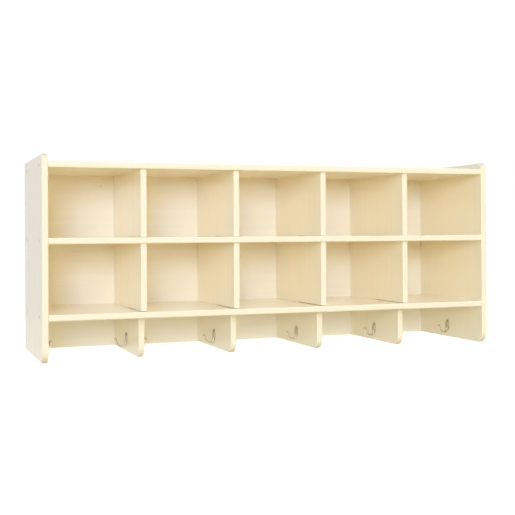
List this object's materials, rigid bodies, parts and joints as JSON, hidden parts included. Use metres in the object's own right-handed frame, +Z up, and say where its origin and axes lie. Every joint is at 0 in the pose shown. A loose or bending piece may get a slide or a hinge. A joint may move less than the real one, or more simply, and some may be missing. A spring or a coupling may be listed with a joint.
{
  "type": "wall-hung cubby shelf with coat hooks",
  "caption": "Wall-hung birch plywood unit with rows of open cubbies over open hook bays, and a bent metal coat hook on each wall of every bay.",
  "frame": {"origin": "under the middle of the unit, level with the lower edges of the sides, dividers and back panel", "axes": "+X along the wall, to the right as seen from the front; +Y into the wall, so the open front faces -Y; +Z up"},
  "size_m": [1.22, 0.35, 0.501],
  "materials": {
    "birch_board": "pale birch veneer plywood, clear satin lacquer, rounded edges with the plies showing",
    "birch_back": "thin pale birch plywood, clear satin lacquer",
    "hook_metal": "satin nickel plate",
    "screw_metal": "zinc plate",
    "cap_plastic": "birch-coloured moulded cap",
    "dowel_wood": "plain hardwood"
  },
  "bodies": {
    "root": {"side_panel_left": "birch_board", "side_panel_right": "birch_board", "top_panel": "birch_board", "middle_shelf": "birch_board", "bottom_shelf": "birch_board", "divider_1": "birch_board", "divider_2": "birch_board", "divider_3": "birch_board", "divider_4": "birch_board", "back_panel": "birch_back", "coat_hook_1_left": "hook_metal", "coat_hook_1_right": "hook_metal", "coat_hook_2_left": "hook_metal", "coat_hook_2_right": "hook_metal", "coat_hook_3_left": "hook_metal", "coat_hook_3_right": "hook_metal", "coat_hook_4_left": "hook_metal", "coat_hook_4_right": "hook_metal", "coat_hook_5_left": "hook_metal", "coat_hook_5_right": "hook_metal", "hook_screws": "screw_metal", "shelf_screws": "screw_metal", "back_panel_screws": "screw_metal", "screw_caps": "cap_plastic", "divider_dowels": "dowel_wood"}
  },
  "joints": []
}
